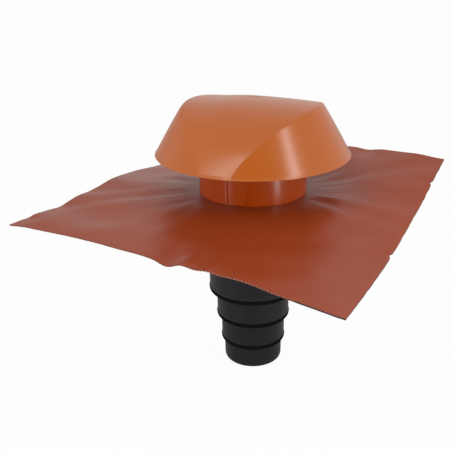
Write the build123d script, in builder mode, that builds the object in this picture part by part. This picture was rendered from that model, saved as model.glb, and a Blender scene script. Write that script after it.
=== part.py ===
# Roof ventilation terminal: a moulded hood on a short neck, a soft flashing sheet and a stepped duct adapter.
# Millimetres, +Z up. The origin is on the duct axis at the lower end of the adapter.
import os
from math import atan2, cos, exp, hypot, pi, radians, sin, sqrt, tan

from build123d import *

# Adapter: rubber steps that fit round ducts, from the lower end up
end_diameter = 100.0
third_growth = 10.0
second_growth = 15.0
first_growth = 25.0
end_height = 39.0
third_height = 46.0
second_height = 49.0
first_height = 49.0
adapter_wall = 3.0
shoulder_round = 4.0
shoulder_share = 0.8
end_round = 9.0
end_lip = 3.0
cuff_height = 70.0
groove_pitch = 6.0
groove_width = 1.4
groove_depth = 0.6

# Base tube: spigot in the adapter's cuff, flange under the sheet, upper tube inside the sleeve
spigot_growth = 10.0
spigot_length = 121.5
tube_wall = 3.0
tube_growth = 12.0
flange_width = 16.0
flange_thickness = 3.0

# Neck sleeve: a band rolled round the tube, with an upright lap seam
seam_angle = -90.0
sleeve_wall = 2.0
neck_height = 63.6
mouth_rise = 18.0
lap_height = 1.0
lap_angle = 22.0

# Hood: a cone cut by an arched vault with a low crown, round at one end of its ridge and creased at the other
outlet_gap = 70.3
lip_width = 0.8
lip_height = 2.5
ridge_height = 87.0
crown_drop = 3.0
crown_span = 100.0
cone_half_angle = 30.0
hood_wall = 2.6
hood_turn = 4.0
crease_foot = 26.4
crease_round = 2.5
blunt_round = 25.0
shelf_width = 1.5
crown_flat = 74.0
flank_inset = 36.0
flank_height = 59.5
arch_count = 5
dish_diameter = 34.0
dish_depth = 1.5
rib_count = 6
rib_start = 30.0
rib_wall = 2.5
ring_wall = 2.5
ring_depth = 15.0
ring_rise = 8.0

# Flashing sheet: how far its edges and corners rise or fall from the flange, and its soft folds
sheet_side = 525.0
sheet_shift = -25.0
sheet_thickness = 2.0
fall_across = 6.4
rise_up_slope = 17.1
twist = 22.0
droop_across = 20.1
lift_up_slope = 1.7
front_bow = 5.0
side_bow = 9.4
corner_lift = 4.4
settle_run = 110.0
fold_height = 1.8
fold_count = 18
fold_axis = 25.0
fold_focus = 6
fold_fade = 45.0
pucker_depth = 6.5
pucker_place = 5.0
pucker_width = 20.0
pucker_reach = 60.0
swell_height = 3.5
swell_place = 110.0
swell_width = 60.0
left_wave_height = 4.5
left_wave_length = 285.0
left_wave_place = -15.0
right_wave_height = -3.0
right_wave_length = 720.0
right_wave_place = -35.0
wave_reach = 70.0
grid_step = 9.0
surface_tolerance = 0.05
surface_degree = 3

# Fasteners
screw_count = 4
screw_start = 45.0
screw_diameter = 4.0
screw_head_diameter = 8.0
screw_head_height = 2.4
screw_tip = 1.5
band_width = 12.0
band_wall = 0.9
band_margin = 5.0
housing_length = 16.0
housing_rise = 9.0
worm_diameter = 6.0
worm_length = 26.0
worm_head_across = 8.0
worm_head_height = 5.0
worm_head_sides = 6
drill_walls = 4

# Clearances
slip = 0.3
seat = 0.2
screw_slip = 0.1

# Sizes and levels that follow
end_radius = end_diameter / 2
third_radius = end_radius + third_growth / 2
second_radius = third_radius + second_growth / 2
first_radius = second_radius + first_growth / 2
spigot_radius = first_radius + spigot_growth / 2
cuff_radius = spigot_radius + slip + adapter_wall
tube_radius = spigot_radius + tube_growth / 2
flange_radius = tube_radius + flange_width
neck_radius = tube_radius + slip + sleeve_wall
brim_radius = neck_radius + outlet_gap
cone_radius = brim_radius - lip_width
ring_radius = tube_radius - tube_wall - slip

third_level = end_height
second_level = third_level + third_height
first_level = second_level + second_height
cuff_level = first_level + first_height
cuff_top = cuff_level + cuff_height
spigot_level = cuff_level + adapter_wall + seat
flange_level = spigot_level + spigot_length
sheet_level = flange_level + flange_thickness + seat
sleeve_level = sheet_level + sheet_thickness + seat
brim_level = sleeve_level + neck_height
mouth_level = brim_level + mouth_rise
ridge_level = brim_level + ridge_height
screw_level = mouth_level - ring_depth / 2
band_level = cuff_top - band_margin - band_width / 2

os.makedirs("parts", exist_ok=True)


def corner_round(shoulder):
    """Rounding of a step's lower corner, kept inside its shoulder."""
    return min(shoulder_round, shoulder_share * shoulder)


def around(radius, angle):
    """Point at this radius and angle about the duct axis."""
    return (radius * cos(radians(angle)), radius * sin(radians(angle)))


def screw_holes(radius, wall):
    """Clearance holes for the hood screws, cut through a round wall of the piece in hand."""
    hole_radius = screw_diameter / 2 + screw_slip
    with Locations((0, 0, screw_level)):
        with PolarLocations(radius, screw_count, start_angle=screw_start):
            Cylinder(hole_radius, drill_walls * wall, rotation=(0, 90, 0), mode=Mode.SUBTRACT)


# Adapter
outer_steps = [
    (end_radius, 0.0, end_height),
    (third_radius, third_level, third_height),
    (second_radius, second_level, second_height),
    (first_radius, first_level, first_height),
    (cuff_radius, cuff_level, cuff_height),
]
mouth_radius = end_radius - end_round - end_lip

with BuildPart() as adapter:
    with BuildSketch(Plane.XZ):
        with BuildLine():
            outline = [(mouth_radius, 0.0)]
            rounds = []
            for index, (radius, level, height) in enumerate(outer_steps):
                outline += [(radius, level), (radius, level + height)]
                if index == 0:
                    rounds += [end_round, 0.0]
                else:
                    rounds += [corner_round(radius - outer_steps[index - 1][0]), 0.0]
            for index, (radius, level, height) in reversed(list(enumerate(outer_steps))):
                top = level + height + (adapter_wall if index < len(outer_steps) - 1 else 0.0)
                outline += [(radius - adapter_wall, top), (radius - adapter_wall, level + adapter_wall)]
                rounds += [0.0, end_round - adapter_wall if index == 0 else 0.0]
            outline.append((mouth_radius, adapter_wall))
            rounds.append(0.0)
            FilletPolyline(outline, radius=[0.0] + rounds, close=True)
        make_face()
        for radius, level, height in outer_steps[:-1]:
            groove_run = height - shoulder_round - groove_pitch
            groove_count = int(groove_run / groove_pitch)
            first_groove = level + shoulder_round + groove_pitch
            with Locations(*[(radius, first_groove + k * groove_pitch) for k in range(groove_count)]):
                Rectangle(2 * groove_depth, groove_width, mode=Mode.SUBTRACT)
    revolve(axis=Axis.Z)
adapter.part.label = "adapter"
export_step(adapter.part, "parts/adapter.step")

# Base tube, with screw holes near its mouth
with BuildPart() as base_tube:
    with BuildSketch(Plane.XZ):
        with BuildLine():
            Polyline(
                (spigot_radius - tube_wall, spigot_level),
                (spigot_radius, spigot_level),
                (spigot_radius, flange_level),
                (flange_radius, flange_level),
                (flange_radius, flange_level + flange_thickness),
                (tube_radius, flange_level + flange_thickness),
                (tube_radius, mouth_level),
                (tube_radius - tube_wall, mouth_level),
                (tube_radius - tube_wall, flange_level + flange_thickness),
                (spigot_radius - tube_wall, flange_level),
                close=True,
            )
        make_face()
    revolve(axis=Axis.Z)
    screw_holes(tube_radius, tube_wall)
base_tube.part.label = "base_tube"
export_step(base_tube.part, "parts/base_tube.step")

# Neck sleeve, whose outer end laps over the inner end along one upright seam
lap_root = neck_radius - sleeve_wall / 2
with BuildPart() as neck_sleeve:
    with BuildSketch(Plane.XY.offset(sleeve_level)):
        Circle(neck_radius)
        with BuildLine():
            Line(around(lap_root, seam_angle), around(neck_radius + lap_height, seam_angle))
            ThreePointArc(
                around(neck_radius + lap_height, seam_angle),
                around(neck_radius + lap_height / 2, seam_angle + lap_angle / 2),
                around(lap_root, seam_angle + lap_angle),
            )
            ThreePointArc(
                around(lap_root, seam_angle + lap_angle),
                around(lap_root, seam_angle + lap_angle / 2),
                around(lap_root, seam_angle),
            )
        make_face()
        Circle(neck_radius - sleeve_wall, mode=Mode.SUBTRACT)
    extrude(amount=mouth_level - sleeve_level)
    screw_holes(neck_radius, sleeve_wall)
neck_sleeve.part.label = "neck_sleeve"
export_step(neck_sleeve.part, "parts/neck_sleeve.step")

# Hood
ridge = Vector(1, 0, 0).rotate(Axis.Z, hood_turn)
across = Vector(0, 1, 0).rotate(Axis.Z, hood_turn)


def end_creases(form):
    """The tall edges where the vault meets the cone, in order along the ridge."""
    tall = form.edges().filter_by(lambda edge: edge.bounding_box().size.Z > ridge_height / 2)
    return tall.sort_by(Axis((0, 0, 0), ridge))


def hood_form(inset):
    """The hood's solid form, drawn in by inset: a loft of arches along the ridge, inside a cone."""
    slant = radians(cone_half_angle)
    base_radius = cone_radius - inset / cos(slant)
    base_mid = cone_radius - shelf_width
    foot_sag = base_mid - sqrt(cone_radius**2 - crease_foot**2)
    with BuildPart() as form:
        for k in range(arch_count):
            along = (2 * k / (arch_count - 1) - 1) * brim_radius
            sink = 1 - crown_drop / ridge_height * (along / crown_span) ** 2
            base = base_mid - foot_sag * (along / crease_foot) ** 2 - inset / cos(slant)
            top = ridge_height * sink - inset
            flank = (base_mid - flank_inset - inset / 2, flank_height * sink - inset)
            section = Plane(ridge * along + Vector(0, 0, brim_level), x_dir=across, z_dir=ridge)
            with BuildSketch(section):
                with BuildLine():
                    half = Bezier((0, top), (crown_flat, top), flank, (base, 0))
                    mirror(half, about=Plane.YZ)
                    Line((base, 0), (-base, 0))
                make_face()
        loft()
        with BuildSketch(Plane.XZ):
            with BuildLine():
                Polyline(
                    (0, brim_level),
                    (base_radius, brim_level),
                    (base_radius - ridge_height * tan(slant), ridge_level),
                    (0, ridge_level),
                    close=True,
                )
            make_face()
        revolve(axis=Axis.Z, mode=Mode.INTERSECT)
        fillet(end_creases(form)[0], radius=blunt_round - inset)
    return form.part


outer_form = hood_form(0.0)
inner_form = hood_form(hood_wall)
rib_form = hood_form(hood_wall / 2)

with BuildPart() as hood_ribs:
    rib_run = brim_radius - ring_radius + ring_wall / 2
    with Locations((0, 0, mouth_level)):
        with PolarLocations(ring_radius - ring_wall / 2, rib_count, start_angle=rib_start):
            Box(
                rib_run,
                rib_wall,
                ridge_level - mouth_level,
                align=(Align.MIN, Align.CENTER, Align.MIN),
            )
    add(rib_form, mode=Mode.INTERSECT)
    with BuildSketch(Plane.XY.offset(mouth_level - ring_depth)):
        Circle(ring_radius)
        Circle(ring_radius - ring_wall, mode=Mode.SUBTRACT)
    extrude(amount=ring_depth + ring_rise)
    screw_holes(ring_radius, ring_wall)

with BuildPart() as hood:
    add(outer_form)
    fillet(end_creases(hood)[-1], radius=crease_round)
    with BuildSketch(Plane.XY.offset(brim_level)):
        Circle(brim_radius)
    extrude(amount=lip_height)
    add(inner_form, mode=Mode.SUBTRACT)
    with Locations((0, 0, ridge_level - dish_depth)):
        Cylinder(
            dish_diameter / 2,
            2 * dish_depth,
            align=(Align.CENTER, Align.CENTER, Align.MIN),
            mode=Mode.SUBTRACT,
        )
    add(hood_ribs.part)
hood.part.label = "hood"
export_step(hood.part, "parts/hood.step")

# Flashing sheet


def drape(x, y):
    """Height of the sheet's underside: flat on the flange, then a twisted fall with soft folds."""
    run = hypot(x, y) - flange_radius
    if run <= 0:
        return sheet_level
    half_side = sheet_side / 2
    u = x / half_side
    v = (y - sheet_shift) / half_side
    free = min(run / settle_run, 1.0)
    ease = free * free * (3 - 2 * free)
    fall = (
        -fall_across * u
        + rise_up_slope * v
        + twist * u * v
        - droop_across * u * u
        + lift_up_slope * v * v
        - front_bow * u * u * v
        + side_bow * u * v * v
        + corner_lift * u * u * v * v
    )
    angle = atan2(y, x)
    sideways = cos(angle - radians(fold_axis)) ** fold_focus
    folds = fold_height * (run / fold_fade) * exp(1 - run / fold_fade) * cos(fold_count * angle) * sideways
    off_front = half_side + y - sheet_shift
    pucker = pucker_depth * exp(-(((x - pucker_place) / pucker_width) ** 2) - off_front / pucker_reach)
    swell = swell_height * exp(-(((x - swell_place) / swell_width) ** 2) - off_front / wave_reach)
    left_wave = left_wave_height * cos(2 * pi * (y - left_wave_place) / left_wave_length)
    right_wave = right_wave_height * cos(2 * pi * (y - right_wave_place) / right_wave_length)
    waves = left_wave * exp(-(half_side + x) / wave_reach) + right_wave * exp(-(half_side - x) / wave_reach)
    return sheet_level + ease * (fall - pucker + swell + waves) + folds


grid_count = round(sheet_side / grid_step) + 1
grid_line = [(k / (grid_count - 1) - 0.5) * sheet_side for k in range(grid_count)]
underside = Face.make_surface_from_array_of_points(
    [[(x, y + sheet_shift, drape(x, y + sheet_shift)) for x in grid_line] for y in grid_line],
    tol=surface_tolerance,
    min_deg=surface_degree,
)

with BuildPart() as flashing_sheet:
    extrude(underside, amount=sheet_thickness, dir=(0, 0, 1))
    with Locations((0, 0, sheet_level)):
        Cylinder(tube_radius + slip, drill_walls * sheet_thickness, mode=Mode.SUBTRACT)
flashing_sheet.part.label = "flashing_sheet"
export_step(flashing_sheet.part, "parts/flashing_sheet.step")

# Hood screws, driven from outside through sleeve and tube into the hood's ring
with BuildPart() as hood_screws:
    with Locations((0, 0, screw_level)):
        with PolarLocations(neck_radius, screw_count, start_angle=screw_start):
            Cylinder(
                screw_head_diameter / 2,
                screw_head_height,
                rotation=(0, 90, 0),
                align=(Align.CENTER, Align.CENTER, Align.MIN),
            )
        with PolarLocations(ring_radius - ring_wall - screw_tip, screw_count, start_angle=screw_start):
            Cylinder(
                screw_diameter / 2,
                neck_radius - ring_radius + ring_wall + screw_tip,
                rotation=(0, 90, 0),
                align=(Align.CENTER, Align.CENTER, Align.MIN),
            )
hood_screws.part.label = "hood_screws"
export_step(hood_screws.part, "parts/hood_screws.step")

# Hose clamp round the adapter's cuff
band_radius = cuff_radius + slip
worm_radius = band_radius + band_wall + worm_head_across / 2 / cos(pi / worm_head_sides) + seat
with BuildPart() as clamp_band:
    with BuildSketch(Plane.XY.offset(band_level - band_width / 2)):
        Circle(band_radius + band_wall)
        Circle(band_radius, mode=Mode.SUBTRACT)
    extrude(amount=band_width)
    with Locations((0, band_radius + band_wall / 2, band_level)):
        Box(housing_length, housing_rise, band_width, align=(Align.CENTER, Align.MIN, Align.CENTER))
    with Locations((0, worm_radius, band_level)):
        Cylinder(
            worm_diameter / 2 + slip,
            2 * housing_length,
            rotation=(0, 90, 0),
            mode=Mode.SUBTRACT,
        )
clamp_band.part.label = "clamp_band"
export_step(clamp_band.part, "parts/clamp_band.step")

with BuildPart() as clamp_screw:
    with BuildSketch(Plane.YZ.offset(housing_length / 2 + seat)):
        with Locations((worm_radius, band_level)):
            RegularPolygon(worm_head_across / 2, worm_head_sides, major_radius=False)
    extrude(amount=worm_head_height)
    with BuildSketch(Plane.YZ.offset(housing_length / 2 + seat)):
        with Locations((worm_radius, band_level)):
            Circle(worm_diameter / 2)
    extrude(amount=-worm_length)
clamp_screw.part.label = "clamp_screw"
export_step(clamp_screw.part, "parts/clamp_screw.step")
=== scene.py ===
# %% [markdown]
# # A roof vent cap in Blender
# The real thing sits on a tiled roof: a moulded hood keeps the rain out of a short neck, a soft sheet is
# dressed down over the tiles, and a stepped rubber adapter below takes the duct. The solid model is
# already there as a fixed frame. This lesson gives each piece its finished surface, one piece at a time.

from functools import lru_cache
from math import atan2, copysign, cos, exp, hypot, pi, radians, sin, sqrt, tan

import bmesh
import bpy
from mathutils import Matrix, Vector, noise


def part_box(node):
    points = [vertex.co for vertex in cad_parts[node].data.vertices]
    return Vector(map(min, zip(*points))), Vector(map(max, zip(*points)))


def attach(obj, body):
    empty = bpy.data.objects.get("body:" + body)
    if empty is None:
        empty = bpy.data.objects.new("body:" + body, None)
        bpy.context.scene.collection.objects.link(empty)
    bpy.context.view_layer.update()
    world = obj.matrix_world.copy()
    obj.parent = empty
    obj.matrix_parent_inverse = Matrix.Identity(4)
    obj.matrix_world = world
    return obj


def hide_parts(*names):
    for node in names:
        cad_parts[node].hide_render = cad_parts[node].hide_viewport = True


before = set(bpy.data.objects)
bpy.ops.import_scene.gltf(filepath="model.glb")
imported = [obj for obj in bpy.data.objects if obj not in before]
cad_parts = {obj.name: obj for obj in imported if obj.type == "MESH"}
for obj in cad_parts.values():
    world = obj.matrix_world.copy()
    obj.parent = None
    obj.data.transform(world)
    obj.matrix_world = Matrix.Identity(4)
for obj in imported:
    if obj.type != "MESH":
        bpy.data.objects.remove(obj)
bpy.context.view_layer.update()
scene = bpy.context.scene
scene.view_settings.view_transform = "Standard"
mm = 0.001

# %% [markdown]
# ## Camera
# The camera was fitted to the hood's round brim, which is a circle seen at an angle: its width and height
# in the picture give the pitch and the distance. The small shift puts the duct axis a little right of
# centre.

# %% Place the camera
hood_low, hood_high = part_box("hood")
view_turn = radians(25.5)
view_pitch = radians(21.21)
view_distance = 1184.7 * mm
view_rise = 330.2 * mm
lens_length, lens_sensor, lens_shift = 59.97, 36.0, -0.0598

camera_data = bpy.data.cameras.new("camera")
camera_data.lens = lens_length
camera_data.sensor_width = lens_sensor
camera_data.shift_x = lens_shift
camera = bpy.data.objects.new("camera", camera_data)
scene.collection.objects.link(camera)
camera.location = (
    view_distance * sin(view_turn),
    -view_distance * cos(view_turn),
    hood_low.z + view_rise,
)
camera.rotation_euler = (pi / 2 - view_pitch, 0, view_turn)
scene.camera = camera
print("camera at", tuple(camera.location))

# %% [markdown]
# ## Nodes in short
# A material is a small graph. These helpers add a node, join two sockets and turn everyday colour values
# into the linear ones that shaders use, so that the cells below stay short.

# %% Helpers for node graphs


def add_node(tree, kind, **settings):
    """A new node of this kind, with its settings and its input values by name."""
    node = tree.nodes.new(kind)
    for name, value in settings.items():
        if hasattr(node, name):
            setattr(node, name, value)
        else:
            node.inputs[name.replace("_", " ")].default_value = value
    return node


def join(tree, source, target):
    tree.links.new(source, target)


def tint(red, green, blue):
    """Linear colour of an everyday red, green and blue of 0 to 255."""
    def linear(value):
        share = value / 255
        return share / 12.92 if share <= 0.04045 else ((share + 0.055) / 1.055) ** 2.4

    return (linear(red), linear(green), linear(blue), 1.0)


print("a mid grey is", tint(128, 128, 128))

# %% [markdown]
# ## Light
# The object stands in a bright white room. A high and a low strip lamp at the right front draw the pale
# streaks on the cone and on the neck, two at the left front light the vault and show at its foot, and the
# room is darker behind the camera and in its far left corner. The floor is white to the camera, yet still
# takes the object's soft shadow.

# %% Room light
room_glow = 0.78
dim_glow = 0.12
dim_from, dim_to = 0.35, 0.9
corner_turn, corner_rise, corner_glow = radians(148), radians(14), 0.6
corner_from, corner_to = 0.9, 0.98

world = bpy.data.worlds.new("room")
scene.world = world
world.use_nodes = True
tree = world.node_tree
background = tree.nodes["Background"]
direction = add_node(tree, "ShaderNodeTexCoord")
facing = add_node(tree, "ShaderNodeVectorMath", operation="DOT_PRODUCT")
facing.inputs[1].default_value = (sin(view_turn), -cos(view_turn), 0)
join(tree, direction.outputs["Generated"], facing.inputs[0])
behind = add_node(
    tree, "ShaderNodeMapRange", interpolation_type="SMOOTHSTEP",
    From_Min=dim_from, From_Max=dim_to, To_Min=room_glow, To_Max=dim_glow,
)
join(tree, facing.outputs["Value"], behind.inputs["Value"])
toward = add_node(tree, "ShaderNodeVectorMath", operation="DOT_PRODUCT")
toward.inputs[1].default_value = (
    sin(view_turn - corner_turn) * cos(corner_rise), -cos(view_turn - corner_turn) * cos(corner_rise),
    sin(corner_rise),
)
join(tree, direction.outputs["Generated"], toward.inputs[0])
corner = add_node(
    tree, "ShaderNodeMapRange", interpolation_type="SMOOTHSTEP",
    From_Min=corner_from, From_Max=corner_to, To_Min=1.0, To_Max=corner_glow,
)
join(tree, toward.outputs["Value"], corner.inputs["Value"])
lit = add_node(tree, "ShaderNodeMath", operation="MULTIPLY")
join(tree, behind.outputs["Result"], lit.inputs[0])
join(tree, corner.outputs["Result"], lit.inputs[1])
rays = add_node(tree, "ShaderNodeLightPath")
seen = add_node(tree, "ShaderNodeMath", operation="MAXIMUM")
join(tree, lit.outputs["Value"], seen.inputs[0])
join(tree, rays.outputs["Is Camera Ray"], seen.inputs[1])
join(tree, seen.outputs["Value"], background.inputs["Strength"])
background.inputs["Color"].default_value = (1, 1, 1, 1)
print("room light:", len(tree.nodes), "nodes")

# %% Lamps


def strip_lamp(name, turn, distance, low, high, width, power):
    """A tall lamp at this turn from the camera, upright between two heights and facing the duct axis."""
    data = bpy.data.lights.new(name, "AREA")
    data.shape = "RECTANGLE"
    data.size = width
    data.size_y = high - low
    data.energy = power
    lamp = bpy.data.objects.new(name, data)
    scene.collection.objects.link(lamp)
    angle = view_turn + radians(turn)
    lamp.location = (distance * sin(angle), -distance * cos(angle), (low + high) / 2)
    lamp.rotation_euler = (pi / 2, 0, angle)
    print(name, "at", tuple(lamp.location))


strip_lamp("right_high_strip", turn=49, distance=0.85, low=0.7, high=1.25, width=0.15, power=2.4)
strip_lamp("right_low_strip", turn=49, distance=0.85, low=0.02, high=0.7, width=0.15, power=1.9)
strip_lamp("left_high_strip", turn=-45, distance=1.12, low=0.8, high=2.2, width=0.17, power=5.2)
strip_lamp("left_low_strip", turn=-48, distance=1.12, low=0.05, high=0.8, width=0.3, power=3.7)

# %% Floor
floor_size = 8
floor_white, floor_unseen = 0.8, 0.6
seen_share = 0.965
mirrored_share = 0.15

floor_mesh = bpy.data.meshes.new("floor")
shape = bmesh.new()
bmesh.ops.create_grid(shape, x_segments=1, y_segments=1, size=floor_size)
shape.to_mesh(floor_mesh)
shape.free()
floor = bpy.data.objects.new("floor", floor_mesh)
scene.collection.objects.link(floor)
floor_finish = bpy.data.materials.new("floor_white")
floor_finish.use_nodes = True
tree = floor_finish.node_tree
tree.nodes.clear()
paper = add_node(tree, "ShaderNodeBsdfDiffuse")
white = add_node(tree, "ShaderNodeMapRange", To_Min=floor_unseen, To_Max=floor_white)
glow = add_node(tree, "ShaderNodeEmission", Color=(1, 1, 1, 1), Strength=1.0)
rays = add_node(tree, "ShaderNodeLightPath")
mirrored = add_node(tree, "ShaderNodeMath", operation="MAXIMUM")
part = add_node(tree, "ShaderNodeMath", operation="MULTIPLY")
part.inputs[1].default_value = mirrored_share
share = add_node(tree, "ShaderNodeMath", operation="MULTIPLY_ADD")
share.inputs[1].default_value = seen_share
mix = add_node(tree, "ShaderNodeMixShader")
output = add_node(tree, "ShaderNodeOutputMaterial")
join(tree, rays.outputs["Is Glossy Ray"], mirrored.inputs[0])
join(tree, rays.outputs["Is Transmission Ray"], mirrored.inputs[1])
join(tree, mirrored.outputs["Value"], part.inputs[0])
join(tree, rays.outputs["Is Camera Ray"], white.inputs["Value"])
join(tree, white.outputs["Result"], paper.inputs["Color"])
join(tree, rays.outputs["Is Camera Ray"], share.inputs[0])
join(tree, part.outputs["Value"], share.inputs[2])
join(tree, share.outputs["Value"], mix.inputs["Fac"])
join(tree, paper.outputs["BSDF"], mix.inputs[1])
join(tree, glow.outputs["Emission"], mix.inputs[2])
join(tree, mix.outputs["Shader"], output.inputs["Surface"])
floor_mesh.materials.append(floor_finish)
print("floor at the adapter's lower end")

# %% [markdown]
# ## Shared effects
# Moulded plastic and rubber are never perfectly even: the mould leaves a very fine grain, the pigment
# clouds a little, and handling leaves faint rubbed streaks. One node group makes all three, and each
# finish decides how much of them it shows.

# %% Group for grain, clouds and rubbed streaks


def value_group(name, inputs, outputs):
    """An empty node group with named number or vector inputs and number outputs."""
    group = bpy.data.node_groups.new(name, "ShaderNodeTree")
    for label, kind, start in inputs:
        socket = group.interface.new_socket(label, in_out="INPUT", socket_type=kind)
        if start is not None:
            socket.default_value = start
    for label in outputs:
        group.interface.new_socket(label, in_out="OUTPUT", socket_type="NodeSocketFloat")
    return group, group.nodes.new("NodeGroupInput"), group.nodes.new("NodeGroupOutput")


rub_stretch = (1.0, 0.35, 2.2)
rub_from, rub_to = 0.58, 0.78

mould_marks, given, made = value_group(
    "mould_marks",
    [("Vector", "NodeSocketVector", None), ("Grain Scale", "NodeSocketFloat", 900.0),
     ("Cloud Scale", "NodeSocketFloat", 9.0), ("Rub Scale", "NodeSocketFloat", 60.0)],
    ["Grain", "Clouds", "Rub"],
)
grain = add_node(mould_marks, "ShaderNodeTexNoise", Detail=2.0, Roughness=0.6)
clouds = add_node(mould_marks, "ShaderNodeTexNoise", Detail=3.0, Roughness=0.5)
stretch = add_node(mould_marks, "ShaderNodeVectorMath", operation="MULTIPLY")
stretch.inputs[1].default_value = rub_stretch
rub = add_node(mould_marks, "ShaderNodeTexNoise", Detail=5.0, Roughness=0.7, Distortion=0.4)
rub_range = add_node(mould_marks, "ShaderNodeMapRange", From_Min=rub_from, From_Max=rub_to)
for texture, scale in ((grain, "Grain Scale"), (clouds, "Cloud Scale"), (rub, "Rub Scale")):
    join(mould_marks, given.outputs[scale], texture.inputs["Scale"])
join(mould_marks, given.outputs["Vector"], grain.inputs["Vector"])
join(mould_marks, given.outputs["Vector"], clouds.inputs["Vector"])
join(mould_marks, given.outputs["Vector"], stretch.inputs[0])
join(mould_marks, stretch.outputs["Vector"], rub.inputs["Vector"])
join(mould_marks, rub.outputs["Fac"], rub_range.inputs["Value"])
join(mould_marks, grain.outputs["Fac"], made.inputs["Grain"])
join(mould_marks, clouds.outputs["Fac"], made.inputs["Clouds"])
join(mould_marks, rub_range.outputs["Result"], made.inputs["Rub"])
print("mould_marks:", len(mould_marks.nodes), "nodes")

# %% A finish built on the shared group
grain_from, grain_to = 0.3, 0.8


def moulded_finish(
    name, deep, light, smooth, rough, grain_scale, grain_depth, rub_share,
    cloud_scale=9.0, shine=0.5, pleat=None,
):
    """Plastic or rubber: two close colours in clouds, a grain in relief and rubbed streaks in the gloss."""
    finish = bpy.data.materials.new(name)
    finish.use_nodes = True
    tree = finish.node_tree
    shader = tree.nodes["Principled BSDF"]
    shader.inputs["Specular IOR Level"].default_value = shine
    place = add_node(tree, "ShaderNodeTexCoord")
    marks = add_node(tree, "ShaderNodeGroup", node_tree=mould_marks)
    marks.inputs["Grain Scale"].default_value = grain_scale
    marks.inputs["Cloud Scale"].default_value = cloud_scale
    join(tree, place.outputs["Object"], marks.inputs["Vector"])
    colour = add_node(tree, "ShaderNodeMix", data_type="RGBA")
    colour.inputs[6].default_value = deep
    colour.inputs[7].default_value = light
    join(tree, marks.outputs["Clouds"], colour.inputs[0])
    join(tree, colour.outputs[2], shader.inputs["Base Color"])
    rubbed = add_node(tree, "ShaderNodeMath", operation="MULTIPLY_ADD")
    rubbed.inputs[1].default_value = rub_share
    join(tree, marks.outputs["Rub"], rubbed.inputs[0])
    join(tree, marks.outputs["Grain"], rubbed.inputs[2])
    gloss = add_node(
        tree, "ShaderNodeMapRange", From_Min=grain_from, From_Max=grain_to, To_Min=smooth, To_Max=rough
    )
    join(tree, rubbed.outputs["Value"], gloss.inputs["Value"])
    join(tree, gloss.outputs["Result"], shader.inputs["Roughness"])
    relief = add_node(tree, "ShaderNodeBump", Strength=1.0, Distance=grain_depth)
    join(tree, marks.outputs["Grain"], relief.inputs["Height"])
    if pleat:
        pitch, depth = pleat
        sides = add_node(tree, "ShaderNodeSeparateXYZ")
        phase = add_node(tree, "ShaderNodeMath", operation="MULTIPLY")
        phase.inputs[1].default_value = 2 * pi / pitch
        wave = add_node(tree, "ShaderNodeMath", operation="SINE")
        folds = add_node(tree, "ShaderNodeBump", Strength=1.0, Distance=depth)
        join(tree, place.outputs["Object"], sides.inputs["Vector"])
        join(tree, sides.outputs["X"], phase.inputs[0])
        join(tree, phase.outputs["Value"], wave.inputs[0])
        join(tree, wave.outputs["Value"], folds.inputs["Height"])
        join(tree, folds.outputs["Normal"], relief.inputs["Normal"])
    join(tree, relief.outputs["Normal"], shader.inputs["Normal"])
    print("finish", name)
    return finish


hood_finish = moulded_finish(
    "hood_plastic", tint(178, 88, 18), tint(184, 93, 22), smooth=0.22, rough=0.3,
    grain_scale=1100.0, grain_depth=0.012 * mm, rub_share=0.3,
)
neck_finish = moulded_finish(
    "neck_plastic", tint(183, 70, 8), tint(190, 76, 11), smooth=0.2, rough=0.28,
    grain_scale=1300.0, grain_depth=0.008 * mm, rub_share=0.4,
)
tube_finish = moulded_finish(
    "tube_plastic", tint(150, 72, 34), tint(160, 79, 38), smooth=0.4, rough=0.52,
    grain_scale=900.0, grain_depth=0.02 * mm, rub_share=0.3,
)
rubber_finish = moulded_finish(
    "adapter_rubber", tint(26, 26, 30), tint(36, 36, 41), smooth=0.34, rough=0.46,
    grain_scale=700.0, grain_depth=0.03 * mm, rub_share=0.5, cloud_scale=30.0, shine=0.3,
)
# Painted shade: a darker copy of the rubber without shine, for the shoulders under each step.
shoulder_painted_shade = moulded_finish(
    "adapter_shoulder_painted_shade", tint(23, 23, 25), tint(28, 28, 30), smooth=0.6, rough=0.7,
    grain_scale=700.0, grain_depth=0.03 * mm, rub_share=0.5, cloud_scale=30.0, shine=0.0,
)

# %% [markdown]
# ## From bmesh to piece
# Every new mesh ends in the same few steps: it gets its finish and smooth shading with crisp edges where
# the form turns sharply, it rides on the object's one body, and it stands for the plain solid of the same
# piece.

# %% Finish a mesh as a piece


def as_piece(shape, name, finishes, node, crisp=32):
    """An object from a bmesh, with its finishes, standing for one node of the solid model."""
    mesh = bpy.data.meshes.new(name)
    shape.to_mesh(mesh)
    shape.free()
    for finish in finishes:
        mesh.materials.append(finish)
    mesh.shade_smooth()
    mesh.set_sharp_from_angle(angle=radians(crisp))
    piece = bpy.data.objects.new(name, mesh)
    scene.collection.objects.link(piece)
    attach(piece, "root")
    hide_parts(node)
    print(name, "has", sum(len(face.vertices) - 2 for face in mesh.polygons), "triangles")
    return piece


def turned(shape, profile, steps):
    """Spin a closed profile of (radius, height) points once round the duct axis, with its faces outwards."""
    first = len(shape.faces)
    corners = [shape.verts.new((radius, 0, height)) for radius, height in profile]
    edges = [shape.edges.new((corners[k - 1], corners[k])) for k in range(len(corners))]
    bmesh.ops.spin(
        shape, geom=corners + edges, cent=(0, 0, 0), axis=(0, 0, 1), dvec=(0, 0, 0),
        angle=2 * pi, steps=steps, use_merge=True, use_duplicate=False,
    )
    shape.faces.ensure_lookup_table()
    bmesh.ops.recalc_face_normals(shape, faces=shape.faces[first:])


def smooth_step(share):
    """Eased share of a way, from 0 to 1."""
    share = min(max(share, 0.0), 1.0)
    return share * share * (3 - 2 * share)


print("half way eased is", smooth_step(0.5))

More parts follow.
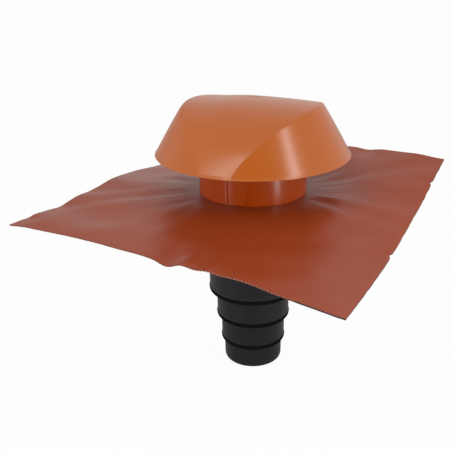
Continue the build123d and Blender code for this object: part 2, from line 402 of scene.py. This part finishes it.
# %% [markdown]
# ## Hood
# The hood is one moulding: a shallow cone whose two long sides are cut away by an arched vault. At one
# end of the ridge the vault meets the cone in a curved crease, and at the other end the two run softly
# together. A boolean would give the shape but a poor mesh, so three flat grids are bent instead: one over
# the vault and one for each end of the cone. They share the line where vault and cone meet, which is
# found step by step.

# %% The hood's form in numbers
brim_level = hood_low.z
brim_radius = hood_high.x
ridge_height = 87 * mm
crown_drop = 3 * mm
crown_span = 100 * mm
left_drop, left_from, left_run = 2.4 * mm, 15 * mm, 60 * mm
flare_width = 0.8 * mm
cone_radius = brim_radius - flare_width
slant = radians(30)
hood_wall = 2.6 * mm
hood_turn = radians(4)
crease_foot = 26.4 * mm
shelf_width = 1.5 * mm
base_mid = cone_radius - shelf_width
foot_sag = base_mid - sqrt(cone_radius**2 - crease_foot**2)
crown_flat = 74 * mm
flank_inset = 36 * mm
flank_height = 59.5 * mm
search_steps = 60


def cone_at(height):
    """Radius of the cone at a height above the brim."""
    return cone_radius - height * tan(slant)


def vault_at(turn, along, inset=0.0):
    """Point (across, height) of the arch at a share of the way from one foot, -1, over the ridge to 1."""
    share = abs(turn)
    rest = 1 - share
    start, near, far, end = rest**3, 3 * share * rest**2, 3 * share**2 * rest, share**3
    drop = crown_drop * (along / crown_span) ** 2 + left_drop * smooth_step((-along - left_from) / left_run)
    sink = 1 - drop / ridge_height
    base = base_mid - foot_sag * (along / crease_foot) ** 2 - inset / cos(slant)
    across = near * crown_flat + far * (base_mid - flank_inset - inset / 2) + end * base
    height = (start + near) * (ridge_height * sink - inset) + far * (flank_height * sink - inset)
    return copysign(across, turn), height


@lru_cache(maxsize=None)
def crease_at(turn):
    """How far along the ridge the arch meets the cone, at this share of the arch."""
    along = crease_foot
    for _ in range(search_steps):
        across, height = vault_at(turn, along)
        along = (along + sqrt(max(cone_at(height) ** 2 - across**2, 0.0))) / 2
    return along


print("the ridge is", 2 * crease_at(0.0), "m long")

# %% How vault and cone run together
blunt_power = 22
blunt_from = 15 * mm
blunt_run = 50 * mm
top_power = 40
top_from, top_run = 0.72, 0.3


def shell_height(along, across, inset=0.0):
    """Height of the shell over the brim at a place: the lower of vault and cone, drawn in by inset."""
    low, high = 0.0, 1.0
    for _ in range(search_steps):
        middle = (low + high) / 2
        if vault_at(middle, along, inset)[0] < abs(across):
            low = middle
        else:
            high = middle
    vault_height = vault_at(low, along, inset)[1]
    cone_height = (cone_radius - inset / cos(slant) - hypot(along, across)) / tan(slant)
    lower, upper = sorted((max(vault_height, 0.0), max(cone_height, 0.0)))
    if lower == 0:
        return 0.0
    blunt = lower * (1 + (lower / upper) ** blunt_power) ** (-1 / blunt_power)
    eased = lower * (1 + (lower / upper) ** top_power) ** (-1 / top_power)
    blunt_share = smooth_step((blunt_from - along) / blunt_run)
    top_share = (1 - blunt_share) * smooth_step((lower / ridge_height - top_from) / top_run)
    return lower + (blunt - lower) * blunt_share + (eased - lower) * top_share


print("the round end is", shell_height(-crease_at(0.0), 0.0), "m high, the creased one",
      shell_height(crease_at(0.0), 0.0))

# %% Bend three grids into the hood's outside
across_count = 144
along_count = 120
cone_count = 44
dish_radius = 16 * mm
dish_depth = 1.1 * mm
dish_slope = 5 * mm
dish_place = 9 * mm
weld = 0.05 * mm

hood_shape = bmesh.new()
vault = bmesh.ops.create_grid(hood_shape, x_segments=across_count, y_segments=along_count, size=1)["verts"]
for vert in vault:
    turn, share = round(vert.co.x, 6), vert.co.y
    along = share * crease_at(turn)
    across = vault_at(turn, along)[0]
    sunk = smooth_step((dish_radius - hypot(along, across - dish_place)) / dish_slope)
    vert.co = (along, across, shell_height(along, across) - dish_depth * sunk)
for side in (-1, 1):
    cone_end = bmesh.ops.create_grid(hood_shape, x_segments=across_count, y_segments=cone_count, size=1)
    for vert in cone_end["verts"]:
        turn, share = round(vert.co.x, 6), (vert.co.y + 1) / 2
        along = crease_at(turn)
        across, top = vault_at(turn, along)
        angle = atan2(across, along)
        radius = cone_at(top * (1 - share))
        along, across = side * radius * cos(angle), radius * sin(angle)
        vert.co = (along, across, shell_height(along, across))
bmesh.ops.remove_doubles(hood_shape, verts=hood_shape.verts, dist=weld)
bmesh.ops.recalc_face_normals(hood_shape, faces=hood_shape.faces)
if sum(face.normal.z for face in hood_shape.faces) < 0:
    bmesh.ops.reverse_faces(hood_shape, faces=hood_shape.faces)
print("hood outside:", len(hood_shape.faces), "faces")

# %% Round the crease
crease_offset = 2.0 * mm
crease_turn = radians(12)
crease_low = 2.5 * mm
creases = [
    edge for edge in hood_shape.edges
    if len(edge.link_faces) == 2 and edge.calc_face_angle() > crease_turn
    and edge.verts[0].co.x > crease_foot and min(vert.co.z for vert in edge.verts) > crease_low
]
bmesh.ops.bevel(
    hood_shape, geom=creases, offset=crease_offset, offset_type="OFFSET", affect="EDGES",
    segments=3, profile=0.5, material=-1, clamp_overlap=True,
)
print("rounded", len(creases), "crease edges, top at", max(vert.co.z for vert in hood_shape.verts))

# %% [markdown]
# ## Brim, ribs and ring
# The sides are a little full, and the brim flares out to a true circle in the last few millimetres, so
# that drops let go there. Both are small moves of the points already made. Below, out of the rain, a ring
# plugs into the tube and six ribs tie it to the shell. A spun profile makes the ring, and each rib is a
# small upright grid whose top follows the inside of the shell.

# %% Flare the brim
flare_height = 2.5 * mm
side_bulge = 0.8 * mm


def foot_radius(angle):
    """Radius where the shell's outside meets the brim, at this angle from the ridge."""
    radius = cone_radius
    for _ in range(search_steps):
        along = radius * cos(angle)
        base = base_mid - foot_sag * (along / crease_foot) ** 2
        radius = min(cone_radius, base / abs(sin(angle))) if abs(along) < crease_foot else cone_radius
    return radius


for vert in hood_shape.verts:
    radius, angle = hypot(*vert.co.xy), atan2(vert.co.y, vert.co.x)
    share = min(max(vert.co.z / ridge_height, 0.0), 1.0)
    push = 4 * side_bulge * share * (1 - share)
    if vert.co.z < flare_height:
        push += (brim_radius - foot_radius(angle)) * (1 - vert.co.z / flare_height) ** 2
    vert.co.x += push * cos(angle)
    vert.co.y += push * sin(angle)
print("brim out to", max(hypot(*vert.co.xy) for vert in hood_shape.verts))

# %% Give the shell its wall and round the brim's edge
brim_round = 0.5 * mm

bmesh.ops.solidify(hood_shape, geom=hood_shape.faces[:], thickness=hood_wall)
for vert in hood_shape.verts:
    vert.co.z = max(vert.co.z, 0.0)
brim_edges = [
    edge for edge in hood_shape.edges
    if all(vert.co.z < weld and hypot(*vert.co.xy) > brim_radius - weld for vert in edge.verts)
]
bmesh.ops.bevel(
    hood_shape, geom=brim_edges, offset=brim_round, offset_type="OFFSET", affect="EDGES",
    segments=2, profile=0.5, material=-1, clamp_overlap=True,
)
print("rounded", len(brim_edges), "brim edges")

# %% Plug ring and ribs under the hood
mouth_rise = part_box("base_tube")[1].z - brim_level
ring_radius = 82.7 * mm
ring_wall = 2.5 * mm
ring_depth = 15 * mm
ring_rise = 8 * mm
ring_steps = 144
rib_count = 6
rib_start = radians(30) - hood_turn
rib_wall = 2.5 * mm
rib_cells = 26
rib_inset = hood_wall / 2
rib_root = ring_radius - ring_wall / 2


def rib_end(angle):
    """Radius where the shell comes down to the rib's lower edge."""
    low, high = ring_radius, cone_radius
    for _ in range(search_steps):
        middle = (low + high) / 2
        if shell_height(middle * cos(angle), middle * sin(angle), rib_inset) > mouth_rise:
            low = middle
        else:
            high = middle
    return low


turned(
    hood_shape,
    [(ring_radius - ring_wall, mouth_rise - ring_depth), (ring_radius, mouth_rise - ring_depth),
     (ring_radius, mouth_rise + ring_rise), (ring_radius - ring_wall, mouth_rise + ring_rise)],
    ring_steps,
)
for k in range(rib_count):
    angle = rib_start + 2 * pi * k / rib_count
    side = Vector((-sin(angle), cos(angle), 0)) * rib_wall / 2
    end = rib_end(angle)
    first_face = len(hood_shape.faces)
    rib = bmesh.ops.create_grid(hood_shape, x_segments=rib_cells, y_segments=2, size=1)["verts"]
    for vert in rib:
        radius = rib_root + (end - rib_root) * (vert.co.x + 1) / 2
        top = shell_height(radius * cos(angle), radius * sin(angle), rib_inset)
        height = mouth_rise + max(top - mouth_rise, 0.0) * (vert.co.y + 1) / 2
        vert.co = Vector((radius * cos(angle), radius * sin(angle), height)) + side
    hood_shape.faces.ensure_lookup_table()
    bmesh.ops.solidify(hood_shape, geom=hood_shape.faces[first_face:], thickness=rib_wall)
    bmesh.ops.recalc_face_normals(hood_shape, faces=hood_shape.faces[first_face:])
print("ring and", rib_count, "ribs")

# %% The hood as a piece
bmesh.ops.rotate(
    hood_shape, verts=hood_shape.verts, cent=(0, 0, 0), matrix=Matrix.Rotation(hood_turn, 3, "Z")
)
bmesh.ops.translate(hood_shape, verts=hood_shape.verts, vec=(0, 0, brim_level))
as_piece(hood_shape, "hood_shell", [hood_finish], "hood")

# %% [markdown]
# ## Neck sleeve
# The neck is a strip of plastic rolled into a band, and its outer end laps over the inner one. The band
# is spun from the seam all the way round without closing, so the outer face can start a millimetre proud
# and run down to nothing. The narrow gap under the lap's edge and the score beside it are sunk into the
# same face.

# %% Spin the band from its seam
sleeve_low, sleeve_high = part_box("neck_sleeve")
neck_radius = sleeve_high.x
sleeve_wall = 2.0 * mm
lap_height = 1.0 * mm
lap_angle = radians(36)
seam_angle = radians(-90)
gap_place, gap_width, gap_depth = radians(-0.7), radians(0.8), 1.1 * mm
score_place, score_width, score_depth = radians(-3), radians(0.7), 0.12 * mm
sleeve_steps = 480
sleeve_round = 0.4 * mm
seam_weld = 0.01 * mm

sleeve_shape = bmesh.new()
inner_radius = neck_radius - sleeve_wall
low, high = sleeve_low.z, sleeve_high.z
profile = [
    (inner_radius, low), (neck_radius, low), (neck_radius + lap_height, low + sleeve_round),
    (neck_radius + lap_height, high - sleeve_round), (neck_radius, high), (inner_radius, high),
]
spun_from = [sleeve_shape.verts.new((radius, 0, height)) for radius, height in profile]
rim = [sleeve_shape.edges.new((spun_from[k - 1], spun_from[k])) for k in range(len(spun_from))]
spun = bmesh.ops.spin(
    sleeve_shape, geom=spun_from + rim, cent=(0, 0, 0), axis=(0, 0, 1), dvec=(0, 0, 0),
    angle=2 * pi, steps=sleeve_steps, use_merge=False, use_duplicate=False,
)
spun_to = {item for item in spun["geom_last"] if isinstance(item, bmesh.types.BMVert)}
print("band from", low, "to", high)

# %% Let the outer face run down from the lap and sink the gap and the score


def groove(angle, place, width, depth):
    """Depth of a round-bottomed groove at an angle from the seam."""
    return depth * max(1 - ((angle - 2 * pi - place) / width) ** 2, 0.0)


for vert in sleeve_shape.verts:
    if hypot(*vert.co.xy) < neck_radius + lap_height / 2:
        continue
    angle = 2 * pi if vert in spun_to else atan2(vert.co.y, vert.co.x) % (2 * pi)
    lap = lap_height * max(1 - angle / lap_angle, 0.0) ** 2
    sunk = groove(angle, gap_place, gap_width, gap_depth)
    sunk += groove(angle, score_place, score_width, score_depth)
    radius = neck_radius + lap - sunk
    vert.co.xy = (radius * cos(angle), radius * sin(angle))
bmesh.ops.remove_doubles(sleeve_shape, verts=sleeve_shape.verts, dist=seam_weld)
open_edges = [edge for edge in sleeve_shape.edges if edge.is_boundary]
bmesh.ops.holes_fill(sleeve_shape, edges=open_edges, sides=len(profile) + 2)
bmesh.ops.recalc_face_normals(sleeve_shape, faces=sleeve_shape.faces)
bmesh.ops.rotate(
    sleeve_shape, verts=sleeve_shape.verts, cent=(0, 0, 0), matrix=Matrix.Rotation(seam_angle, 3, "Z")
)
print("seam closed over", len(open_edges), "edges")
as_piece(sleeve_shape, "neck_band", [neck_finish], "neck_sleeve")

# %% [markdown]
# ## Flashing sheet
# The sheet is soft and thin, so that it can be dressed down over the tiles by hand. It lies flat on the
# tube's flange, then twists and falls away, with soft wrinkles that radiate from the neck. A cloth
# simulation would not keep a hand-pressed shape like this one, so a fine grid takes a height formula: the
# same slow fall as the solid, and on top of it uneven wrinkles from Blender's own noise.

# %% How the sheet falls
sheet_low, sheet_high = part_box("flashing_sheet")
sheet_side = sheet_high.x - sheet_low.x
sheet_shift = (sheet_low.y + sheet_high.y) / 2
half_side = sheet_side / 2
sheet_thickness = 2 * mm
sheet_seat = 0.2 * mm
flange_radius = 102 * mm
flange_top = sleeve_low.z - sheet_seat
settle_run = 110 * mm
fold_height = 1.0 * mm
fold_count = 6
fold_crest = radians(20)
fold_axis = radians(25)
fold_fade = 35 * mm
pucker_depth, pucker_place, pucker_width, pucker_reach = 6.5 * mm, 5 * mm, 20 * mm, 60 * mm
swell_height, swell_place, swell_width = 3.5 * mm, 110 * mm, 60 * mm
left_wave_height, left_wave_length, left_wave_place = 4.5 * mm, 285 * mm, -15 * mm
right_wave_height, right_wave_length, right_wave_place = -3 * mm, 720 * mm, -35 * mm
wave_reach = 70 * mm
fall_across = 6.4 * mm
rise_up_slope = 17.1 * mm
twist = 22 * mm
droop_across = 20.1 * mm
lift_up_slope = 1.7 * mm
front_bow = 5 * mm
side_bow = 9.4 * mm
corner_lift = 4.4 * mm


def edge_waves(x, y):
    """Height of the pucker and the swell at the front edge, and of the waves at the left and right edges."""
    off_front = half_side + y - sheet_shift
    pucker = pucker_depth * exp(-(((x - pucker_place) / pucker_width) ** 2) - off_front / pucker_reach)
    swell = swell_height * exp(-(((x - swell_place) / swell_width) ** 2) - off_front / wave_reach)
    left = left_wave_height * cos(2 * pi * (y - left_wave_place) / left_wave_length)
    right = right_wave_height * cos(2 * pi * (y - right_wave_place) / right_wave_length)
    left_share, right_share = exp(-(half_side + x) / wave_reach), exp(-(half_side - x) / wave_reach)
    return swell - pucker + left * left_share + right * right_share


presses = (
    (-262, -275, -4.0, 22, 28), (-120, -287, 2.5, 100, 45), (-8, -287, 2.0, 12, 35), (28, -287, 2.8, 13, 35),
    (68, -287, 2.2, 12, 35), (140, -287, 2.2, 60, 40), (262, 230, -3.5, 45, 50), (262, -110, -2.0, 40, 90),
    (122, 237, -2.2, 16, 40), (-262, -248, -2.2, 25, 14), (-262, -172, -1.5, 30, 14),
    (-262, -125, 1.7, 30, 22), (-262, -62, -1.2, 30, 20), (-262, 45, 1.2, 30, 22),
)


def pressed(x, y):
    """Height where a thumb pressed the soft edge up or down: x, y, height and spreads in millimetres."""
    return mm * sum(
        height * exp(-(((x / mm - middle) / wide) ** 2) - ((y / mm - level) / deep) ** 2)
        for middle, level, height, wide, deep in presses
    )


def slow_fall(x, y):
    """Height of the sheet's upper face from its flat middle, without the fine wrinkles."""
    run = hypot(x, y) - flange_radius
    if run <= 0:
        return 0.0
    u, v = x / half_side, (y - sheet_shift) / half_side
    fall = (
        -fall_across * u + rise_up_slope * v + twist * u * v - droop_across * u * u + lift_up_slope * v * v
        - front_bow * u * u * v + side_bow * u * v * v + corner_lift * u * u * v * v
    )
    angle = atan2(y, x)
    sideways = cos(angle - fold_axis) ** 2
    wave = cos(fold_count * (angle - fold_crest))
    folds = fold_height * (run / fold_fade) * exp(1 - run / fold_fade) * wave * sideways
    return smooth_step(run / settle_run) * (fall + edge_waves(x, y) + pressed(x, y)) + folds


print("corners fall by", [round(slow_fall(x, y + sheet_shift) / mm, 1)
                          for x in (-half_side, half_side) for y in (-half_side, half_side)], "mm")

# %% Wrinkles and dents
fine_density, fine_stretch, fine_fade, fine_height = 18, 50 * mm, 24 * mm, 0.3 * mm
broad_density, broad_stretch, broad_fade, broad_height = 6, 160 * mm, 90 * mm, 2.0 * mm
dent_size, dent_height = 48 * mm, 1.1 * mm
ripple_height, ripple_length, ripple_crest = 0.8 * mm, 111 * mm, -143 * mm
ripple_from, ripple_run = -50 * mm, 90 * mm


def fan(x, y, run, density, stretch, fade, height):
    """Uneven wrinkles that radiate from the neck, strongest at one distance and fading beyond it."""
    angle = atan2(y, x)
    uneven = noise.noise(Vector((density * cos(angle), density * sin(angle), run / stretch)))
    sideways = cos(angle - fold_axis) ** 2
    return height * (run / fade) * exp(1 - run / fade) * uneven * sideways


def fine_relief(x, y):
    """Height of the small wrinkles round the neck and of the soft dents all over the sheet."""
    run = hypot(x, y) - flange_radius
    if run <= 0:
        return 0.0
    wrinkles = fan(x, y, run, fine_density, fine_stretch, fine_fade, fine_height)
    wrinkles += fan(x, y, run, broad_density, broad_stretch, broad_fade, broad_height)
    dents = dent_height * noise.noise(Vector((x, y, 0)) / dent_size)
    ripple = ripple_height * cos(2 * pi * (y - ripple_crest) / ripple_length)
    dents += ripple * smooth_step((ripple_from - x) / ripple_run)
    return wrinkles + smooth_step(run / settle_run) * dents


print("a wrinkle beside the neck is", fine_relief(flange_radius + fine_fade, 0) / mm, "mm high")

# %% Cut the sheet, its hole and its nicks, then drape it
sheet_columns = 210
sheet_rows = 190
hole_radius = 87 * mm
wander, wander_size, wander_reach = 1.2 * mm, 16 * mm, 6 * mm
nick_places, nick_depth, nick_width = (152 * mm, -85 * mm), 3.5 * mm, 5 * mm

sheet_shape = bmesh.new()
bmesh.ops.create_grid(sheet_shape, x_segments=sheet_columns, y_segments=sheet_rows, size=half_side)
row = sheet_side / sheet_rows
bmesh.ops.translate(sheet_shape, verts=sheet_shape.verts, vec=(0, sheet_shift, 0))
for vert in sheet_shape.verts:
    rim = sqrt(max(hole_radius**2 - vert.co.x**2, 0.0))
    if rim and abs(abs(vert.co.y) - rim) < row / 2:
        vert.co.y = copysign(rim, vert.co.y)
inside = [face for face in sheet_shape.faces if hypot(*face.calc_center_median().xy) < hole_radius]
bmesh.ops.delete(sheet_shape, geom=inside, context="FACES")


def cut_edge(x, y):
    """Where a point of the sheet lies once its edges are cut by hand, with a nick or two on the right."""
    v = y - sheet_shift
    x_share, y_share = exp((abs(x) - half_side) / wander_reach), exp((abs(v) - half_side) / wander_reach)
    x_cut = wander * (noise.noise(Vector((copysign(1, x), y / wander_size, 0))) + 1) / 2
    y_cut = wander * (noise.noise(Vector((x / wander_size, copysign(1, v), 1))) + 1) / 2
    if x > 0:
        x_cut += sum(nick_depth * exp(-(((y - place) / nick_width) ** 2)) for place in nick_places)
    return x - copysign(x_cut * x_share, x), y - copysign(y_cut * y_share, v)


for vert in sheet_shape.verts:
    x, y = vert.co.xy
    vert.co.xy = cut_edge(x, y)
    vert.co.z = flange_top + slow_fall(x, y) + fine_relief(x, y)
print("hole of", len(inside), "cells")

# %% Crimp the front edge and give the sheet its thickness
crimp_pitch, crimp_height, crimp_cuts = 5.25 * mm, 0.4 * mm, 3
crimp_middle, crimp_spread = 70 * mm, 110 * mm
front = sheet_low.y + row / 2

front_edges = [
    edge for edge in sheet_shape.edges if edge.is_boundary and max(vert.co.y for vert in edge.verts) < front
]
bmesh.ops.subdivide_edges(sheet_shape, edges=front_edges, cuts=crimp_cuts)
for vert in sheet_shape.verts:
    if vert.is_boundary and vert.co.y < front:
        share = exp(-(((vert.co.x - crimp_middle) / crimp_spread) ** 4))
        vert.co.z += crimp_height * share * cos(2 * pi * vert.co.x / crimp_pitch)
bmesh.ops.recalc_face_normals(sheet_shape, faces=sheet_shape.faces)
if sum(face.normal.z for face in sheet_shape.faces) < 0:
    bmesh.ops.reverse_faces(sheet_shape, faces=sheet_shape.faces)
bmesh.ops.solidify(sheet_shape, geom=sheet_shape.faces[:], thickness=sheet_thickness)
print("crimped", len(front_edges), "edges")

# %% Mark the cut edge
edge_tilt = 0.4

cut_faces = [
    face for face in sheet_shape.faces
    if abs(face.normal.z) < edge_tilt and hypot(*face.calc_center_median().xy) > flange_radius
]
for face in cut_faces:
    face.material_index = 1
print(len(cut_faces), "faces on the cut edge")

# %% [markdown]
# ### Its two finishes
# The sheet has a dull, slightly greasy sheen over a red-brown colour, and mirrors the hood softly. The
# shared marks give the clouds and the rubbed gloss. The cut edge keeps a red-brown colour along the front
# left of 190 mm, and everywhere else it is painted dark as shade. Along the front, the crests of the
# crimps are painted pale in a row of short dashes as a painted highlight, left of where the painted shade
# starts.

# %% Sheet finish and cut edge
pleat_depth = 0.014 * mm
edge_dull, edge_clouds, edge_grain = 0.55, 60.0, 0.05 * mm
dash_low, dash_high = 0.1, 0.9
edge_deep, edge_light = tint(112, 46, 30), tint(140, 62, 40)
# A painted highlight for the crimp crests and painted shade for the cut edge.
crest_painted_highlight, edge_painted_shade = tint(172, 116, 94), tint(30, 22, 22)

flashing_finish = moulded_finish(
    "flashing", tint(142, 54, 18), tint(153, 62, 24), smooth=0.28, rough=0.38,
    grain_scale=500.0, grain_depth=0.03 * mm, rub_share=0.5, shine=0.36, pleat=(crimp_pitch, pleat_depth),
)
dash_from, dash_to, edge_shade_from = 68 * mm, 186 * mm, 190 * mm
fade = 8 * mm

edge_finish = bpy.data.materials.new("flashing_edge_painted_light")
edge_finish.use_nodes = True
tree = edge_finish.node_tree
shader = tree.nodes["Principled BSDF"]
shader.inputs["Roughness"].default_value = edge_dull
place = add_node(tree, "ShaderNodeTexCoord")
sides = add_node(tree, "ShaderNodeSeparateXYZ")
join(tree, place.outputs["Object"], sides.inputs["Vector"])


def window(axis, start, end):
    """Eased rise from 0 at start to 1 at end along an axis."""
    node = add_node(
        tree, "ShaderNodeMapRange", interpolation_type="SMOOTHSTEP", From_Min=start, From_Max=end,
    )
    join(tree, sides.outputs[axis], node.inputs["Value"])
    return node.outputs["Result"]


def combined(operation, first, second):
    node = add_node(tree, "ShaderNodeMath", operation=operation)
    join(tree, first, node.inputs[0])
    join(tree, second, node.inputs[1])
    return node.outputs["Value"]


# Painted highlight: pale dashes on the crests of the crimps, along the front edge.
phase = add_node(tree, "ShaderNodeMath", operation="MULTIPLY")
phase.inputs[1].default_value = 2 * pi / crimp_pitch
join(tree, sides.outputs["X"], phase.inputs[0])
wave = add_node(tree, "ShaderNodeMath", operation="COSINE")
join(tree, phase.outputs["Value"], wave.inputs[0])
dash = add_node(tree, "ShaderNodeMapRange", From_Min=dash_low, From_Max=dash_high)
join(tree, wave.outputs["Value"], dash.inputs["Value"])
crest_highlight_share = combined("MULTIPLY", window("X", dash_from, dash_from + fade), dash.outputs["Result"])
crest_highlight_share = combined("MULTIPLY", crest_highlight_share, window("X", dash_to, dash_to - fade))
# Painted shade: the cut edge turns dark right of 190 mm and away from the front.
edge_shaded = combined(
    "MAXIMUM", window("X", edge_shade_from, edge_shade_from + fade),
    window("Y", sheet_low.y + fade, sheet_low.y + 2 * fade),
)
marks = add_node(tree, "ShaderNodeGroup", node_tree=mould_marks)
marks.inputs["Cloud Scale"].default_value = edge_clouds
join(tree, place.outputs["Object"], marks.inputs["Vector"])
shares = (marks.outputs["Clouds"], crest_highlight_share, edge_shaded)
last = None
for share, colour in zip(shares, (edge_light, crest_painted_highlight, edge_painted_shade)):
    blend = add_node(tree, "ShaderNodeMix", data_type="RGBA")
    join(tree, share, blend.inputs[0])
    if last is None:
        blend.inputs[6].default_value = edge_deep
    else:
        join(tree, last, blend.inputs[6])
    blend.inputs[7].default_value = colour
    last = blend.outputs[2]
join(tree, last, shader.inputs["Base Color"])
relief = add_node(tree, "ShaderNodeBump", Strength=1.0, Distance=edge_grain)
join(tree, marks.outputs["Grain"], relief.inputs["Height"])
join(tree, relief.outputs["Normal"], shader.inputs["Normal"])
print("cut edge:", len(tree.nodes), "nodes")

# %% The sheet as a piece
sheet = as_piece(sheet_shape, "flashing_apron", [flashing_finish, edge_finish], "flashing_sheet")

# %% [markdown]
# ## Adapter
# The rubber adapter is cut off at the step that fits the duct. Each step has fine grooves that seal in
# the duct. Below them a small bead and a rounded shoulder are painted darker and without shine, as
# painted shade under each step, while the sides keep the plain rubber with its faint grey bloom. It is
# round, so one profile is spun about the duct axis.

# %% Draw the adapter's profile
end_radius = 50 * mm
step_growths = [0.0, 5 * mm, 7.5 * mm, 12.5 * mm, 8.3 * mm]
step_heights = [39 * mm, 46 * mm, 49 * mm, 49 * mm, 70 * mm]
adapter_wall = 3 * mm
mouth_radius = 38 * mm
end_round = 9 * mm
shoulder_round = 4 * mm
shoulder_share = 0.8
shoulder_rise = 7 * mm
wall_taper = 0.5 * mm
bead, bead_rise = 0.7 * mm, 1.2 * mm
groove_pitch = 4 * mm
groove_half = 0.5 * mm
groove_depth = 0.35 * mm
groove_start = 0.25
corner_cuts = 6
adapter_steps = 160
adapter_crisp = 40


def round_corner(radius, level, size, rise):
    """Points of a quarter round from the underside of a step to its side."""
    angles = [pi / 2 * k / corner_cuts for k in range(corner_cuts + 1)]
    return [(radius - size + size * sin(angle), level + rise - rise * cos(angle)) for angle in angles]


outside, inside_wall, painted_shade_bands = [], [], []
radius, level = end_radius, 0.0
for growth, height in zip(step_growths, step_heights):
    radius += growth
    if growth:
        size, rise = min(shoulder_round, shoulder_share * growth), shoulder_rise
        painted_shade_bands.append((level, level + rise + bead_rise / 2))
        outside += round_corner(radius + bead, level, size, rise)
        outside.append((radius - wall_taper, level + rise + bead_rise))
    else:
        size, rise = end_round, end_round
        outside += round_corner(radius - wall_taper, level, size, rise)
    last = level == sum(step_heights[:-1])
    grooves = 0 if last else int((height - rise - groove_pitch) / groove_pitch)
    for k in range(grooves):
        middle = level + height - (grooves - k - groove_start) * groove_pitch
        wall = radius - wall_taper * (level + height - middle) / height
        outside += [(wall, middle - groove_half), (wall - groove_depth, middle - groove_half / 2),
                    (wall - groove_depth, middle + groove_half / 2), (wall, middle + groove_half)]
    outside.append((radius, level + height))
    top = level + height + (0.0 if last else adapter_wall)
    inside_wall = [(radius - adapter_wall, top), (radius - adapter_wall, level + adapter_wall)] + inside_wall
    level += height
adapter_profile = [(mouth_radius, 0.0)] + outside + inside_wall + [(mouth_radius, adapter_wall)]
print("adapter profile has", len(adapter_profile), "points")

# %% Spin the adapter
adapter_shape = bmesh.new()
turned(adapter_shape, adapter_profile, adapter_steps)
# Painted shade: the outward faces in each shoulder band take the darker copy without shine.
for face in adapter_shape.faces:
    middle = face.calc_center_median()
    outward = face.normal.xy.dot(middle.xy) > 0
    if outward and any(low < middle.z < high for low, high in painted_shade_bands):
        face.material_index = 1
as_piece(
    adapter_shape, "duct_adapter", [rubber_finish, shoulder_painted_shade], "adapter",
    crisp=adapter_crisp,
)

# %% [markdown]
# ## Tube, screws and clamp
# These few hidden pieces have the right shape already, so they keep their solid's mesh and only get a
# finish.

# %% Steel finish
steel_grain = 1500.0
steel_smooth, steel_rough = 0.22, 0.42


def steel_finish(name):
    """Bright steel with a fine grain and rubbed streaks."""
    finish = bpy.data.materials.new(name)
    finish.use_nodes = True
    tree = finish.node_tree
    shader = tree.nodes["Principled BSDF"]
    shader.inputs["Metallic"].default_value = 1.0
    place = add_node(tree, "ShaderNodeTexCoord")
    marks = add_node(tree, "ShaderNodeGroup", node_tree=mould_marks)
    marks.inputs["Grain Scale"].default_value = steel_grain
    join(tree, place.outputs["Object"], marks.inputs["Vector"])
    colour = add_node(tree, "ShaderNodeMix", data_type="RGBA")
    colour.inputs[6].default_value = tint(196, 198, 200)
    colour.inputs[7].default_value = tint(216, 217, 218)
    join(tree, marks.outputs["Rub"], colour.inputs[0])
    join(tree, colour.outputs[2], shader.inputs["Base Color"])
    gloss = add_node(tree, "ShaderNodeMapRange", To_Min=steel_smooth, To_Max=steel_rough)
    join(tree, marks.outputs["Grain"], gloss.inputs["Value"])
    join(tree, gloss.outputs["Result"], shader.inputs["Roughness"])
    print("finish", name)
    return finish


# %% Finish the solid pieces
steel = steel_finish("steel")
for node, finish in (
    ("base_tube", tube_finish), ("hood_screws", steel), ("clamp_band", steel), ("clamp_screw", steel)
):
    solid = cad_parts[node].data
    solid.materials.clear()
    solid.materials.append(finish)
    print(node, "keeps its solid with", finish.name)
